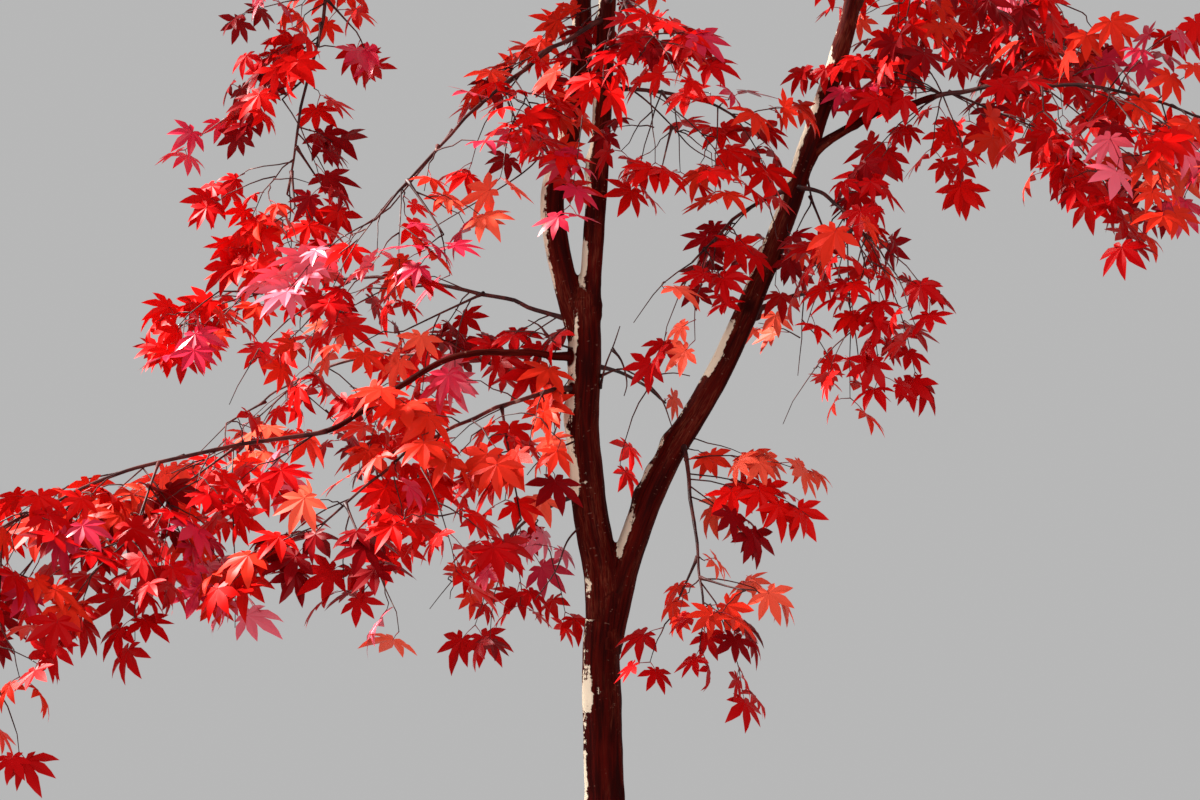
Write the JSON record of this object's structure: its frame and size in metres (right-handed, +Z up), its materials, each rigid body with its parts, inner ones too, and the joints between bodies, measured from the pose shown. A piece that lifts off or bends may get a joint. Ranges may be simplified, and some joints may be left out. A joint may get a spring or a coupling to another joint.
{
  "type": "japanese maple tree",
  "caption": "Young Japanese maple in autumn: slim forked trunk, arching boughs and airy drooping tiers of scarlet star-shaped leaves, cut flat at the ground.",
  "frame": {"origin": "middle of the trunk's flat foot, at ground level", "axes": "+Z up, +X to the right in the front view, +Y away from the viewer"},
  "size_m": [1.8464, 1.7831, 2.9601],
  "materials": {
    "bark": "smooth maroon-brown bark, paler and pinkish on its lit side, with fine lengthwise streaks",
    "scarlet_leaves": "thin leaves, bright scarlet with a soft sheen",
    "crimson_leaves": "thin leaves, deep crimson with a soft sheen",
    "orange_leaves": "thin leaves, orange-red with a soft sheen"
  },
  "bodies": {
    "root": {"trunk": "bark", "left_stem": "bark", "right_bough": "bark", "left_leader": "bark", "centre_leader": "bark", "low_left_bough": "bark", "high_left_bough": "bark", "far_left_bough": "bark", "right_side_bough": "bark", "back_bough": "bark", "front_bough": "bark", "back_right_bough": "bark", "front_right_bough": "bark", "front_left_bough": "bark", "low_back_bough": "bark", "right_back_bough": "bark", "leaves_lower_left": "scarlet_leaves", "leaves_near_left": "crimson_leaves", "leaves_middle_left": "orange_leaves", "leaves_upper_left": "scarlet_leaves", "leaves_front_centre": "crimson_leaves", "leaves_hanging_left": "orange_leaves", "leaves_inner_low_left": "scarlet_leaves", "leaves_fork_gap": "crimson_leaves", "leaves_lower_right": "orange_leaves", "leaves_right_hanging": "scarlet_leaves", "leaves_right_inner": "crimson_leaves", "leaves_upper_right": "orange_leaves", "leaves_top_centre": "scarlet_leaves", "leaves_top_left": "crimson_leaves", "leaves_top": "orange_leaves", "leaves_top_right": "scarlet_leaves", "leaves_far_left": "crimson_leaves", "leaves_front": "orange_leaves", "leaves_back": "scarlet_leaves", "leaves_back_right": "crimson_leaves", "leaves_front_right": "orange_leaves", "leaves_front_left": "scarlet_leaves", "leaves_low_back_left": "crimson_leaves", "leaves_low_back_right": "orange_leaves"}
  },
  "joints": []
}
